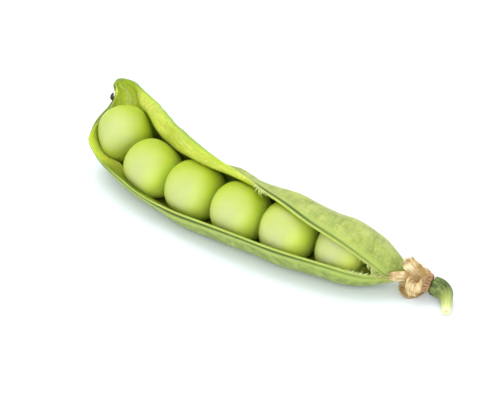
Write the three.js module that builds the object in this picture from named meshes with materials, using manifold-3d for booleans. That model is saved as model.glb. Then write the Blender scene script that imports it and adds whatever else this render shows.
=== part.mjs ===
// An open garden pea pod lying on its side: two valves joined along the back seam, six peas in the
// cavity, a dried calyx round the stem end and a short cut stem.
//
// Millimetres, +Z up, floor at z = 0. The pod lies along X with its stem toward +X, and its mouth
// looks toward -Y and up. Every section of the pod is drawn about a curved centre line: "station" is
// the distance along that line from the stem end of the pod to its tip.

import * as THREE from "three";
import { mergeVertices } from "three/addons/utils/BufferGeometryUtils.js";
import Module from "manifold-3d";

const wasm = await Module();
wasm.setup();

// ---------------------------------------------------------------- driving dimensions

const POD_LENGTH = 71.8; // along the centre line, stem end to tip
const WALL = 0.8; // thickness of a valve
const PEA_SQUASH = 0.96; // a pea's half length along the pod over its half width
const PEA_FLATTEN = 0.99; // a pea's half height across the valves over its half width
const PEA_SQUARENESS = 2.8; // exponent of its outline: 2 is an ellipse, more is boxier
const RIDGE_ROUNDING = 0.17; // radians from the back seam over which its ridge is rounded off
const FOLD_REACH = 0.6; // length of wall on each side of a fold that is taken up in bending
const TURN_CHORD = 5; // half length of the chord that a section stands square to
const TAPER_FROM = 60; // station from which the pod narrows to its tip
const TAPER_SHARE = 0.7; // share of the valves' sections that stand before it
const LIP_CROWDING = 1.25; // how much closer the points of a section stand at its lips: 1 is evenly

// [station, [x, y, z]] of the middle of the row of peas
const CENTRE_LINE = [
  [-5.4, [32.9, 7.0, 2.5]],
  [0, [28.1, 5.1, 3.6]],
  [10.4, [18.7, 1.1, 5.7]],
  [20.5, [8.9, -1.2, 5.95]],
  [30.5, [-1.0, -2.4, 5.95]],
  [40.5, [-11.0, -2.8, 5.95]],
  [50.4, [-20.8, -2.8, 6.2]],
  [60.5, [-30.5, 0.8, 7.6]],
  [66.5, [-34.4, 4.8, 9.8]],
  [69.6, [-36.1, 6.9, 11.4]],
  [POD_LENGTH, [-38.3, 7.2, 12.2]],
];

// [station, direction] that the mouth looks in
const MOUTH = [
  [0, [0.52, -0.85, -0.04]],
  [5, [0.54, -0.82, 0.18]],
  [10.4, [0.58, -0.73, 0.37]],
  [20.5, [0.56, -0.64, 0.52]],
  [30.5, [0.555, -0.616, 0.559]],
  [48, [0.555, -0.616, 0.559]],
  [60, [0.34, -0.62, 0.7]],
  [POD_LENGTH, [0.2, -0.6, 0.78]],
];

// [station, radius] of the middle of the wall, where it is round
const RADIUS = [
  [0, 1.2],
  [2, 2.6],
  [5, 4.2],
  [10.4, 5.3],
  [20.5, 5.65],
  [40.5, 5.7],
  [50.4, 5.7],
  [60.5, 5.8],
  [63, 5.25],
  [65, 3.9],
  [66.5, 3.0],
  [69.6, 2.0],
  [71.2, 1.4],
  [POD_LENGTH, 0.7],
];

// [station, distance of the back seam from the centre line over the radius]
const BACK_RIDGE = [
  [0, 1],
  [10.4, 1.4],
  [50.4, 1.46],
  [60.5, 1.35],
  [66.5, 1.15],
  [POD_LENGTH, 1],
];

// [station, degrees] from the back seam round to where each valve leaves its round wall
const UPPER_FOLD = [
  [0, 150],
  [5, 155],
  [10.4, 146],
  [20.5, 126],
  [28.5, 114],
  [31.2, 113],
  [35, 114],
  [38.8, 115],
  [43.2, 110],
  [46, 103],
  [50.4, 96],
  [55.8, 106],
  [60.5, 112],
  [64, 110],
  [66.5, 100],
  [69.6, 100],
  [POD_LENGTH, 120],
];
const LOWER_FOLD = [
  [0, 150],
  [5, 155],
  [10.4, 146],
  [20.5, 135],
  [30.5, 128],
  [40.5, 118],
  [50.4, 112],
  [60.5, 98],
  [66.5, 110],
  [POD_LENGTH, 120],
];

// [station, [up, out]] of each valve's lip from the centre line, where it runs straight to from the
// fold: distances toward the upper valve and toward the mouth
const UPPER_LIP = [
  [0, [0.07, 1.2]],
  [2, [0.18, 2.6]],
  [5, [0.98, 4.08]],
  [10.4, [2.05, 4.86]],
  [15.6, [3.0, 4.75]],
  [20.5, [4.1, 4.2]],
  [25, [4.85, 3.7]],
  [28.5, [5.6, 3.1]],
  [31.2, [6.05, 2.8]],
  [35, [6.5, 2.9]],
  [38.8, [7.1, 3.3]],
  [43.2, [7.95, 3.4]],
  [46, [8.35, 3.3]],
  [50.4, [8.35, 2.9]],
  [55.8, [8.25, 2.4]],
  [60.5, [7.75, 2.7]],
  [64, [6.85, 2.3]],
  [66.5, [4.85, 1.7]],
  [69.6, [1.8, 1.4]],
  [POD_LENGTH, [0.18, 0.68]],
];
const LOWER_LIP = [
  [0, [-0.07, 1.2]],
  [2, [-0.18, 2.6]],
  [5, [-0.98, 4.08]],
  [10.4, [-2.11, 4.86]],
  [20.5, [-3.24, 4.63]],
  [30.5, [-3.81, 4.24]],
  [40.5, [-4.55, 3.43]],
  [50.4, [-4.85, 3.1]],
  [54, [-5.45, 2.85]],
  [57, [-6.15, 2.5]],
  [60.5, [-6.5, 2.0]],
  [63, [-4.9, 2.3]],
  [66.5, [-1.99, 1.67]],
  [69.6, [-1.28, 0.96]],
  [POD_LENGTH, [-0.18, 0.68]],
];

// [station, distance] that each valve stands out from its round radius, or is pressed in if negative
const UPPER_SWELL = [
  [0, -0.15],
  [4.5, -0.25],
  [9, -0.12],
  [12.5, -0.35],
  [16.5, 0.1],
  [20.5, 0.5],
  [24.5, 0.45],
  [29, 0.2],
  [31, 0.5],
  [33.5, 0.9],
  [36, 0.6],
  [40.5, 0.05],
  [POD_LENGTH, 0],
];
const LOWER_SWELL = [
  [0, -0.3],
  [4, -0.4],
  [7, -0.2],
  [9, -0.3],
  [12, -0.5],
  [16, -0.4],
  [20.5, -0.45],
  [26, -0.5],
  [30.5, -0.45],
  [33, -0.25],
  [36, 0],
  [40, 0],
  [44, -0.3],
  [47, -0.6],
  [50.4, -0.65],
  [52.5, -0.5],
  [55, -0.15],
  [58, 0],
];
const SWELL_FROM = 35; // degrees from the back seam where it begins
const SWELL_FULL = 90; // where it is whole
const SWELL_TO = 118; // and where it ends on the upper valve; the lower one keeps it to its fold

// each pea from the stem end: its station, its half width and its lift toward the upper valve
const PEAS = [
  { station: 10.4, radius: 4.3, lift: 0.15 },
  { station: 20.2, radius: 4.8, lift: 0.25 },
  { station: 30.1, radius: 4.8, lift: 0.3 },
  { station: 40.2, radius: 4.85, lift: 0.3 },
  { station: 50.2, radius: 4.75, lift: 0.25 },
  { station: 60.4, radius: 4.7, lift: -0.2 },
];
const PEA_BULGE = 0.2; // how far each pea pushes the wall out
const PEA_REACH = 3.2; // how far along the pod that bulge spreads

// [station, radius] of the solid neck that closes the pod's stem end, and of its closed tip
const NECK = [
  [-4.6, 0.95],
  [-2.5, 1.0],
  [0, 1.8],
  [1.2, 2.5],
  [2.2, 2.95],
  [2.9, 3.1],
  [3.5, 3.0],
];
const TIP = [
  [71.1, 1.15],
  [POD_LENGTH, 1.05],
  [72.2, 0.5],
];

// The dried style, a short thread that lies along the outside of the tip's lower valve
const STYLE_STATION = 68.2; // where it leaves the wall
const STYLE_SIDE = -0.85; // and how far round the lower valve
const STYLE_LENGTH = 1.5;
const STYLE_RADIUS = 0.32;

// The calyx: a ring round the neck, as [station, radius] of its outside, and its bore
const RING = [
  [-5.2, 1.45],
  [-4.6, 1.6],
  [-4.0, 1.9],
  [-3.5, 1.95],
];
const RING_BORE = 1.35;
const SEPAL_THICKNESS = 0.62;

// Each dried sepal: the path of its midrib from the ring to its point, as [station, distance toward
// the upper valve, distance toward the mouth]; half its greatest width; how deep it is cupped; and
// the direction across the blade at its point, as [toward the tip, upper valve, mouth]
const SEPALS = [
  {
    path: [[-4.1, 1.5, -0.1], [-2.5, 1.8, 0.1], [-0.9, 2.35, -0.1], [0.3, 2.9, -0.9]],
    width: 1.0,
    cup: 0.3,
    across: [-0.75, 0.35, -0.53],
  },
  {
    path: [[-4.1, 0.9, 1.3], [-2.3, 1.1, 2.0], [-0.3, 1.1, 2.7], [1.6, 1.0, 3.6]],
    width: 0.85,
    cup: -0.2,
    across: [0, 0.96, -0.24],
  },
  {
    path: [[-4.1, -0.1, 1.6], [-3.4, 0.9, 2.5], [-3.0, 1.2, 3.2], [-3.0, 0.3, 3.9], [-3.2, -0.9, 4.2]],
    width: 1.6,
    cup: -0.35,
    across: [1, 0, 0],
  },
  {
    path: [[-4.1, -1.45, 0.75], [-2.8, -1.8, 1.5], [-1.3, -2.05, 1.9], [-0.2, -2.2, 1.9]],
    width: 1.15,
    cup: 0.3,
    across: [0, 0.77, 0.66],
  },
  {
    path: [[-4.1, -0.4, -1.6], [-2.8, -0.45, -2.55], [-1.4, -0.7, -3.4], [0, -1.4, -3.9]],
    width: 1.2,
    cup: 0.3,
    across: [0, -0.96, 0.24],
  },
];

// The stem's centre line from under the calyx to its cut end, with its radius
const STEM = [
  { at: [33.02, 7.07, 2.48], radius: 1.5 },
  { at: [34.1, 7.45, 2.2], radius: 1.5 },
  { at: [35.2, 7.35, 1.9], radius: 1.3 },
  { at: [36.3, 6.5, 1.5], radius: 1.02 },
  { at: [37.1, 5.4, 1.2], radius: 0.9 },
  { at: [37.9, 4.3, 1.0], radius: 0.88 },
];

// ---------------------------------------------------------------- curves

/** The smooth curve through hand-set [station, value] keys; a value is a number or a point. */
function along(keys, station) {
  const last = keys.length - 1;
  const s = THREE.MathUtils.clamp(station, keys[0][0], keys[last][0]);
  let i = 0;
  while (i < last - 1 && s >= keys[i + 1][0]) i += 1;
  const step = keys[i + 1][0] - keys[i][0];
  const u = (s - keys[i][0]) / step;
  const slope = (k, pick) => {
    const a = Math.max(k - 1, 0);
    const b = Math.min(k + 1, last);
    return (pick(b) - pick(a)) / (keys[b][0] - keys[a][0]);
  };
  const blend = (pick) =>
    (2 * u ** 3 - 3 * u ** 2 + 1) * pick(i) +
    (u ** 3 - 2 * u ** 2 + u) * step * slope(i, pick) +
    (3 * u ** 2 - 2 * u ** 3) * pick(i + 1) +
    (u ** 3 - u ** 2) * step * slope(i + 1, pick);
  if (typeof keys[0][1] === "number") return blend((k) => keys[k][1]);
  const point = keys[0][1].map((_, axis) => blend((k) => keys[k][1][axis]));
  return point.length === 2 ? new THREE.Vector2(...point) : new THREE.Vector3(...point);
}

/** The section's frame at a station: its centre, and the directions to the tip, mouth and upper valve. */
function sectionFrame(station) {
  const centre = along(CENTRE_LINE, station);
  const ahead = along(CENTRE_LINE, station + TURN_CHORD);
  const toTip = ahead.sub(along(CENTRE_LINE, station - TURN_CHORD)).normalize();
  const mouth = along(MOUTH, station);
  const toMouth = mouth.addScaledVector(toTip, -mouth.dot(toTip)).normalize();
  const toUpper = new THREE.Vector3().crossVectors(toTip, toMouth);
  return { centre, toTip, toMouth, toUpper };
}

/** The point beside the centre line at given distances toward the upper valve and the mouth. */
function besideCentre(station, up, out) {
  const { centre, toTip, toMouth, toUpper } = sectionFrame(station);
  const beyond = Math.min(0, station - CENTRE_LINE[0][0]) + Math.max(0, station - POD_LENGTH);
  return centre
    .addScaledVector(toTip, beyond)
    .addScaledVector(toUpper, up)
    .addScaledVector(toMouth, out);
}

const ROUND_STEPS = 40; // points along the round part of a half section
const FOLD_STEPS = 8; // and round its fold

/**
 * The middle of one valve's wall at a station, from the back seam to its lip: round as far as the
 * fold and straight from there. Each point is its distances toward the upper valve and the mouth.
 */
function halfSection(station, upper) {
  const degrees = THREE.MathUtils.degToRad(1);
  const fold = degrees * along(upper ? UPPER_FOLD : LOWER_FOLD, station);
  const lip = along(upper ? UPPER_LIP : LOWER_LIP, station);
  const swell = along(upper ? UPPER_SWELL : LOWER_SWELL, station);
  const radius = along(RADIUS, station);
  const tangent = Math.acos(Math.min(1, 1 / along(BACK_RIDGE, station)));
  const bulge = PEAS.reduce((sum, one) => sum + Math.exp(-(((station - one.station) / PEA_REACH) ** 2)), 0);
  const uneven = PEA_BULGE * (bulge - 0.5) * THREE.MathUtils.smoothstep(station, 3, 8);
  const roundWall = (angle) => {
    const straight = Math.max(0, tangent - Math.hypot(angle, RIDGE_ROUNDING));
    const swollen =
      THREE.MathUtils.smoothstep(angle, SWELL_FROM * degrees, SWELL_FULL * degrees) *
      (upper ? 1 - THREE.MathUtils.smoothstep(angle, SWELL_FULL * degrees, SWELL_TO * degrees) : 1);
    const distance = (radius + uneven * swollen) / Math.cos(straight) + swell * swollen;
    return new THREE.Vector2((upper ? 1 : -1) * distance * Math.sin(angle), -distance * Math.cos(angle));
  };
  const corner = roundWall(fold);
  const reach = corner.distanceTo(lip);
  const turn = Math.min(FOLD_REACH, reach / 2);
  const before = fold - turn / corner.length();
  const start = roundWall(before);
  const after = corner.clone().lerp(lip, turn / reach);
  const points = [];
  for (let i = 0; i < ROUND_STEPS; i += 1) points.push(roundWall((before * i) / ROUND_STEPS));
  for (let i = 0; i <= FOLD_STEPS; i += 1) {
    const t = i / FOLD_STEPS;
    points.push(start.clone().lerp(corner, t).lerp(corner.clone().lerp(after, t), t));
  }
  points.push(lip);
  return points;
}

/** The middle of the pod's wall; side runs from -1 at the lower lip, over the back, to 1. */
function wallMiddle(station, side) {
  const points = halfSection(station, side > 0);
  const lengths = points.slice(1).map((point, i) => point.distanceTo(points[i]));
  let left = Math.abs(side) * lengths.reduce((sum, length) => sum + length, 0);
  let i = 0;
  while (i < lengths.length - 1 && left > lengths[i]) {
    left -= lengths[i];
    i += 1;
  }
  const place = points[i].clone().lerp(points[i + 1], left / lengths[i]);
  return besideCentre(station, place.x, place.y);
}

// ---------------------------------------------------------------- closed shapes

/** A closed skin of a given thickness about the surface middle(u, v), with u and v from 0 to 1. */
function thickSheet(middle, thickness, stepsU, stepsV, keepAbove = -Infinity) {
  const points = [];
  const sample = (u, v) => middle(THREE.MathUtils.clamp(u, 0, 1), THREE.MathUtils.clamp(v, 0, 1));
  const layer = (offset) => {
    for (let i = 0; i <= stepsU; i += 1) {
      for (let j = 0; j <= stepsV; j += 1) {
        const u = i / stepsU;
        const v = j / stepsV;
        const du = sample(u + 1e-3, v).sub(sample(u - 1e-3, v));
        const dv = sample(u, v + 1e-3).sub(sample(u, v - 1e-3));
        const point = sample(u, v).addScaledVector(du.cross(dv).normalize(), offset);
        point.z = Math.max(point.z, keepAbove);
        points.push(point.x, point.y, point.z);
      }
    }
  };
  layer(thickness / 2);
  layer(-thickness / 2);
  const top = (i, j) => i * (stepsV + 1) + j;
  const bottom = (i, j) => (stepsU + 1 + i) * (stepsV + 1) + j;
  const faces = [];
  const quad = (a, b, c, d) => faces.push(a, b, c, a, c, d);
  for (let i = 0; i < stepsU; i += 1) {
    for (let j = 0; j < stepsV; j += 1) {
      quad(top(i, j), top(i + 1, j), top(i + 1, j + 1), top(i, j + 1));
      quad(bottom(i, j), bottom(i, j + 1), bottom(i + 1, j + 1), bottom(i + 1, j));
    }
    quad(top(i, 0), bottom(i, 0), bottom(i + 1, 0), top(i + 1, 0));
    quad(top(i, stepsV), top(i + 1, stepsV), bottom(i + 1, stepsV), bottom(i, stepsV));
  }
  for (let j = 0; j < stepsV; j += 1) {
    quad(top(0, j), top(0, j + 1), bottom(0, j + 1), bottom(0, j));
    quad(top(stepsU, j), bottom(stepsU, j), bottom(stepsU, j + 1), top(stepsU, j + 1));
  }
  return indexed(points, faces);
}

/** A closed rod through rings of points, each ring a list that goes once round. */
function closedRod(rings) {
  const sides = rings[0].length;
  const points = rings.flat().flatMap((point) => point.toArray());
  const faces = [];
  for (let i = 0; i < rings.length - 1; i += 1) {
    for (let j = 0; j < sides; j += 1) {
      const a = i * sides + j;
      const b = i * sides + ((j + 1) % sides);
      faces.push(a, b, b + sides, a, b + sides, a + sides);
    }
  }
  for (const end of [0, rings.length - 1]) {
    const middle = rings[end].reduce((sum, point) => sum.add(point), new THREE.Vector3());
    points.push(...middle.divideScalar(sides).toArray());
    const hub = points.length / 3 - 1;
    for (let j = 0; j < sides; j += 1) {
      const a = end * sides + j;
      const b = end * sides + ((j + 1) % sides);
      faces.push(...(end === 0 ? [hub, b, a] : [hub, a, b]));
    }
  }
  return indexed(points, faces);
}

function indexed(points, faces) {
  const geometry = new THREE.BufferGeometry();
  geometry.setAttribute("position", new THREE.Float32BufferAttribute(points, 3));
  geometry.setIndex(faces);
  return geometry;
}

/** Rings round the pod's centre line; keys are [station, radius]. */
function ringsRoundCentre(keys, steps, sides) {
  const first = keys[0][0];
  const last = keys[keys.length - 1][0];
  return Array.from({ length: steps + 1 }, (_, i) => {
    const station = first + ((last - first) * i) / steps;
    const radius = along(keys, station);
    return Array.from({ length: sides }, (_unused, j) => {
      const angle = (2 * Math.PI * j) / sides;
      return besideCentre(station, radius * Math.cos(angle), -radius * Math.sin(angle));
    });
  });
}

/** Rings of a tapering rod along a curve; radii are keys from 0 to 1. */
function ringsAlongCurve(route, radii, steps, sides) {
  const frames = route.computeFrenetFrames(steps, false);
  return Array.from({ length: steps + 1 }, (_, i) => {
    const middle = route.getPointAt(i / steps);
    const radius = along(radii, i / steps);
    return Array.from({ length: sides }, (_unused, j) => {
      const angle = (2 * Math.PI * j) / sides;
      return middle
        .clone()
        .addScaledVector(frames.normals[i], radius * Math.cos(angle))
        .addScaledVector(frames.binormals[i], radius * Math.sin(angle));
    });
  });
}

// ---------------------------------------------------------------- joining and cutting

function toSolid(geometry) {
  const bare = geometry.clone();
  bare.deleteAttribute("normal");
  bare.deleteAttribute("uv");
  const merged = mergeVertices(bare, 1e-4);
  const vertProperties = new Float32Array(merged.attributes.position.array);
  const triVerts = new Uint32Array(merged.index.array);
  return new wasm.Manifold(new wasm.Mesh({ numProp: 3, vertProperties, triVerts }));
}

function toGeometry(solid) {
  const mesh = solid.getMesh();
  const geometry = indexed([...mesh.vertProperties], [...mesh.triVerts]);
  geometry.computeVertexNormals();
  return geometry;
}

function joined(geometries) {
  return toGeometry(geometries.map(toSolid).reduce((whole, piece) => whole.add(piece)));
}

// ---------------------------------------------------------------- the pod

/** Both valves with their back seam, closed by the neck at the stem end and by the tip. */
function podShell() {
  // Sections stand closer where the pod narrows to its tip, and points closer toward the lips.
  const station = (u) =>
    u < TAPER_SHARE
      ? (TAPER_FROM * u) / TAPER_SHARE
      : TAPER_FROM + ((POD_LENGTH - TAPER_FROM) * (u - TAPER_SHARE)) / (1 - TAPER_SHARE);
  const side = (v) => Math.sign(2 * v - 1) * (1 - (1 - Math.abs(2 * v - 1)) ** LIP_CROWDING);
  const valves = thickSheet((u, v) => wallMiddle(station(u), side(v)), WALL, 50, 32, 0);
  const neck = closedRod(ringsRoundCentre(NECK, 8, 18));
  const tip = closedRod(ringsRoundCentre(TIP, 3, 12));
  return joined([valves, neck, tip, style()]);
}

/** The dried style: a short thread rooted in the wall and bent along it toward the tip. */
function style() {
  const root = wallMiddle(STYLE_STATION, STYLE_SIDE);
  const { centre, toTip } = sectionFrame(STYLE_STATION);
  const outward = root.clone().sub(centre).normalize();
  const bow = root.clone().addScaledVector(outward, 0.75 * WALL).addScaledVector(toTip, 0.2 * STYLE_LENGTH);
  const end = root.clone().addScaledVector(outward, 0.9 * WALL).addScaledVector(toTip, STYLE_LENGTH);
  const route = new THREE.CatmullRomCurve3([root, bow, end]);
  const radii = [[0, STYLE_RADIUS], [0.6, STYLE_RADIUS], [1, 0.6 * STYLE_RADIUS]];
  return closedRod(ringsAlongCurve(route, radii, 4, 8));
}

/** A slightly boxy pea: a sphere drawn out to the exponent PEA_SQUARENESS along and across the pod. */
function pea({ station, radius, lift }) {
  const geometry = new THREE.SphereGeometry(1, 20, 14);
  geometry.deleteAttribute("normal");
  geometry.deleteAttribute("uv");
  const round = mergeVertices(geometry, 1e-4);
  const place = round.attributes.position;
  const { toTip, toMouth, toUpper } = sectionFrame(station);
  const centre = besideCentre(station, lift, 0);
  for (let i = 0; i < place.count; i += 1) {
    const end = place.getY(i);
    const girth = Math.hypot(place.getX(i), place.getZ(i));
    const outline = Math.abs(end) ** PEA_SQUARENESS + girth ** PEA_SQUARENESS;
    const scale = radius * outline ** (-1 / PEA_SQUARENESS);
    const point = centre
      .clone()
      .addScaledVector(toTip, end * scale * PEA_SQUASH)
      .addScaledVector(toMouth, place.getZ(i) * scale)
      .addScaledVector(toUpper, place.getX(i) * scale * PEA_FLATTEN);
    place.setXYZ(i, point.x, point.y, point.z);
  }
  return round;
}

/** The ring round the neck with five dried, curled sepals grown from its edge. */
function calyx() {
  const sides = 20;
  const ring = toSolid(closedRod(ringsRoundCentre(RING, 4, sides)));
  const bore = toSolid(closedRod(ringsRoundCentre([[-5.4, RING_BORE], [-3.3, RING_BORE]], 2, sides)));
  const whole = SEPALS.reduce((sum, one) => sum.add(toSolid(sepal(one))), ring);
  return toGeometry(whole.subtract(bore));
}

/** A curled blade, widest past its middle; its root lies round the neck and its point turns to across. */
function sepal({ path, width, cup, across }) {
  const keys = path.map((place, i) => [i / (path.length - 1), place]);
  const rib = (u) => besideCentre(...along(keys, u).toArray());
  const middle = (u, v) => {
    const { x: station, y: up, z: out } = along(keys, u);
    const { toTip, toMouth, toUpper } = sectionFrame(station);
    const tangent = rib(u + 0.01).sub(rib(u - 0.01)).normalize();
    const round = new THREE.Vector3().addScaledVector(toUpper, out).addScaledVector(toMouth, -up).normalize();
    const turned = new THREE.Vector3()
      .addScaledVector(toTip, across[0])
      .addScaledVector(toUpper, across[1])
      .addScaledVector(toMouth, across[2]);
    const side = round.lerp(turned, Math.min(1, 2 * u));
    side.addScaledVector(tangent, -side.dot(tangent)).normalize();
    const face = new THREE.Vector3().crossVectors(side, tangent);
    const half = width * Math.sin(Math.PI * (0.22 + 0.68 * u)) ** 0.8;
    const place = 2 * v - 1;
    return rib(u)
      .addScaledVector(side, place * half)
      .addScaledVector(face, cup * place ** 2);
  };
  return thickSheet(middle, SEPAL_THICKNESS, 9, 5);
}

/** The short green stalk, thickest under the calyx and bent down to its cut end. */
function stem() {
  const route = new THREE.CatmullRomCurve3(STEM.map(({ at }) => new THREE.Vector3(...at)));
  const radii = STEM.map(({ radius }, i) => [i / (STEM.length - 1), radius]);
  return closedRod(ringsAlongCurve(route, radii, 12, 14));
}

// ---------------------------------------------------------------- the scene graph

function piece(name, geometry, color, roughness) {
  const material = new THREE.MeshStandardMaterial({ color, roughness, metalness: 0 });
  const mesh = new THREE.Mesh(geometry, material);
  mesh.name = name;
  return mesh;
}

const pod = new THREE.Group();
pod.add(piece("pod_shell", podShell(), 0x9fc04e, 0.5));
PEAS.forEach((one, i) => pod.add(piece(`pea_${i + 1}`, pea(one), 0xc4dc72, 0.42)));
pod.add(piece("calyx", calyx(), 0xd9b781, 0.85));
pod.add(piece("stem", stem(), 0x8aab4a, 0.6));

// The origin is on the floor, under the middle of the pod's bounding box.
const box = new THREE.Box3().setFromObject(pod);
const middle = box.getCenter(new THREE.Vector3());
pod.position.set(-middle.x, -middle.y, -box.min.z);

export default pod;
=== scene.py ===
"""An open garden pea pod lying on its side: two fresh valves, six peas in their row, the dried calyx
and the cut stem. Lengths are in millimetres until a mesh is made, and then in metres.

"Station" is the distance along the pod's centre line from its stem end; "up" is toward the upper
valve and "out" is toward the mouth.
"""

from math import acos, cos, pi, radians, sin

import bmesh
import bpy
import numpy as np
from mathutils import Matrix, Vector
from mathutils.noise import noise


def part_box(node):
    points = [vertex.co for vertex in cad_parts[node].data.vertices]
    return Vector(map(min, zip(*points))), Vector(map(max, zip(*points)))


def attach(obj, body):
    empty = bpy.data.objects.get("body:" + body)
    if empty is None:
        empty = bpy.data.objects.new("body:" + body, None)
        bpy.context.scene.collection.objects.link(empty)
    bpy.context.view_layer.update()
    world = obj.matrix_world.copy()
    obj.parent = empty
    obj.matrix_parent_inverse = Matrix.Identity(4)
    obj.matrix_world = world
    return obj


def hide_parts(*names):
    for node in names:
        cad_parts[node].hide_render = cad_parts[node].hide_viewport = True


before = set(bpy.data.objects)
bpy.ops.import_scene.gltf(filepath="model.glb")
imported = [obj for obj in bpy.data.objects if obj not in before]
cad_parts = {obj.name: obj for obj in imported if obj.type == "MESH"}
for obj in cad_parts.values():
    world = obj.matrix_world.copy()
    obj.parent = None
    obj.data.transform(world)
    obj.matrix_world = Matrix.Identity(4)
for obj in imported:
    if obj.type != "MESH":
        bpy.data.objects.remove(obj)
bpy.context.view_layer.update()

# ---- the pod's two valves
# Fresh green pod wall, 0.8 mm thick, grown as one piece from the neck to the beaked tip: waxy skin
# outside, a pale moist lining inside, and thickened lips along the mouth seam, where a hand split it.

POD_LENGTH = 71.8
WALL = 0.8
# the pod's middle and the way its mouth faces, by station; its heading is taken over a chord
TURN_CHORD = 5
CENTRE_LINE = [
    (-5.4, 32.9, 7, 2.5), (0, 28.1, 5.1, 3.6), (10.4, 18.7, 1.1, 5.7), (20.5, 8.9, -1.2, 5.95),
    (30.5, -1, -2.4, 5.95), (40.5, -11, -2.8, 5.95), (50.4, -20.8, -2.8, 6.2), (60.5, -30.5, 0.8, 7.6),
    (66.5, -34.4, 4.8, 9.8), (69.6, -36.1, 6.9, 11.4), (POD_LENGTH, -38.3, 7.2, 12.2),
]
MOUTH = [
    (0, 0.52, -0.85, -0.04), (5, 0.54, -0.82, 0.18), (10.4, 0.58, -0.73, 0.37), (20.5, 0.56, -0.64, 0.52),
    (30.5, 0.555, -0.616, 0.559), (48, 0.555, -0.616, 0.559), (60, 0.34, -0.62, 0.7),
    (POD_LENGTH, 0.2, -0.6, 0.78),
]
# the round of the wall, and how much farther out the ridge of the back seam lies
RADIUS = [
    (-5.2, 0.5), (-2.5, 0.6), (0, 1.35), (2, 2.6), (5, 4.2), (10.4, 5.3), (20.5, 5.65), (40.5, 5.7),
    (50.4, 5.7), (60.5, 5.8), (63, 5.25), (65, 3.9), (66.5, 3), (69.6, 2), (71.2, 1.5), (72, 0.85),
    (72.3, 0.2),
]
BACK_RIDGE = [(0, 1), (10.4, 1.4), (50.4, 1.46), (60.5, 1.35), (66.5, 1.15), (POD_LENGTH, 1)]
RIDGE_SOFTNESS = 0.03
MOUTH_OPENS = 2.8
MOUTH_CLOSES = 72.0
# Degrees from the back seam at which each valve's wall leaves its round, to run straight to the lip,
# which is given as millimetres up and out from the centre line.
UPPER_FOLD = [
    (MOUTH_OPENS, 150), (5, 155), (10.4, 146), (20.5, 126), (28.5, 114), (31.2, 113), (35, 114),
    (38.8, 115), (40.5, 115), (43.2, 110), (46, 103), (50.4, 96), (55.8, 106), (60.5, 112), (64, 110),
    (66.5, 100), (69.6, 100), (MOUTH_CLOSES, 120),
]
UPPER_LIP = [
    (MOUTH_OPENS, 0, 3.05), (5, 0.98, 4.08), (10.4, 2.05, 4.86), (15.6, 3, 4.75), (20.5, 4.1, 4.2),
    (25, 4.85, 3.7), (28.5, 5.6, 3.1), (31.2, 6.05, 2.8), (35, 6.5, 2.9), (38.8, 7.1, 3.3),
    (43.2, 8, 3.4), (46, 8.55, 3.15), (50.4, 8.6, 2.85), (55.8, 8.3, 2.45), (60.5, 7.75, 2.5),
    (64, 6.85, 2.25), (66.5, 4.85, 1.7), (68.2, 3.3, 1.45), (69.6, 2.2, 1.3), (70.8, 1.65, 1.25),
    (71.6, 0.8, 1.15), (MOUTH_CLOSES, 0, 0.85),
]
LOWER_FOLD = [
    (MOUTH_OPENS, 150), (5, 155), (10.4, 146), (20.5, 135), (30.5, 128), (40.5, 118), (50.4, 112),
    (60.5, 98), (66.5, 110), (MOUTH_CLOSES, 120),
]
LOWER_LIP = [
    (MOUTH_OPENS, 0, 3.05), (5, -0.98, 4.08), (10.4, -2.11, 4.86), (20.5, -3.24, 4.63),
    (30.5, -3.81, 4.24), (40.5, -4.55, 3.43), (50.4, -4.85, 3.1), (54, -5.45, 2.85), (57, -6.15, 2.5),
    (60.5, -6.5, 2), (62, -5.4, 2.2), (63.4, -4.1, 2.1), (65, -2.85, 1.8), (66.5, -2.2, 1.5),
    (68.2, -2.1, 1.2), (69.6, -1.95, 1), (70.8, -1.3, 1.05), (71.6, -0.75, 1.1), (MOUTH_CLOSES, 0, 0.85),
]
# the bend at the fold: millimetres to each side, and at most this share of the way to the lip
FOLD_BEND = 0.6
FOLD_BEND_SHARE = 0.45
# how far the wall swells out of its round, and over which degrees from the back seam; the upper
# valve's swelling ends before the fold
UPPER_SWELL = [
    (0, -0.15), (4.5, -0.25), (9, -0.12), (12.5, -0.35), (16.5, 0.1), (20.5, 0.5), (24.5, 0.45),
    (29, 0.2), (31, 0.5), (33.5, 0.9), (36, 0.6), (40.5, 0.05), (POD_LENGTH, 0),
]
LOWER_SWELL = [
    (0, -0.3), (4, -0.4), (7, -0.2), (9, -0.3), (12, -0.5), (16, -0.4), (20.5, -0.45), (26, -0.5),
    (30.5, -0.45), (33, -0.25), (36, 0), (40, 0), (44, -0.3), (47, -0.6), (50.4, -0.65), (52.5, -0.5),
    (55, -0.15), (58, 0),
]
SWELL_FROM = 35
SWELL_FULL = 90
SWELL_TO = 118
# each pea: its station, its half width and how far it lies toward the upper valve
PEAS = [
    (10.4, 4.4, 0.15), (20.2, 4.85, 0.25), (30.1, 4.9, 0.3), (40.2, 4.95, 0.3), (50.2, 4.85, 0.25),
    (60.4, 4.85, -0.2),
]
# each pea pushes the wall out beside it
PEA_BULGE = 0.2
PEA_REACH = 3.2
BULGE_STARTS = (3, 8)
# points along one half of a section, and how much closer they lie near the lip
ARC_POINTS = 90
BEND_POINTS = 24
LIP_CROWDING = 1.35


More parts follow.
